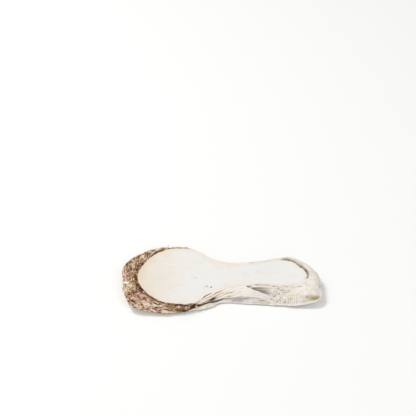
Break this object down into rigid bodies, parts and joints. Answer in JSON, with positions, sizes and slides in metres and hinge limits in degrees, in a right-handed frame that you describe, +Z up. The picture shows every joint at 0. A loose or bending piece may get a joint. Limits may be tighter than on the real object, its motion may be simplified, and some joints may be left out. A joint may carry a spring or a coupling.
{
  "type": "dried king oyster mushroom slice",
  "caption": "Lengthwise slice of a dried king oyster mushroom: broad cream cut face, crinkled cap skin, gills running down a folded stem, curled edges.",
  "frame": {"origin": "middle of the slice's box, on the surface that it lies on", "axes": "-X towards the cap, +X towards the stem's base, -Y towards the front with the folded stem skin, +Z up out of the smaller cut face"},
  "size_m": [0.1116, 0.0618, 0.0095],
  "materials": {
    "cap": "matt, dry and crinkled: pinkish brown cap skin, tan gills and cream cut flesh",
    "stem": "matt, dry and finely wrinkled: cream cut flesh and pale grey-beige skin"
  },
  "bodies": {
    "root": {"cap": "cap", "stem": "stem"}
  },
  "joints": []
}
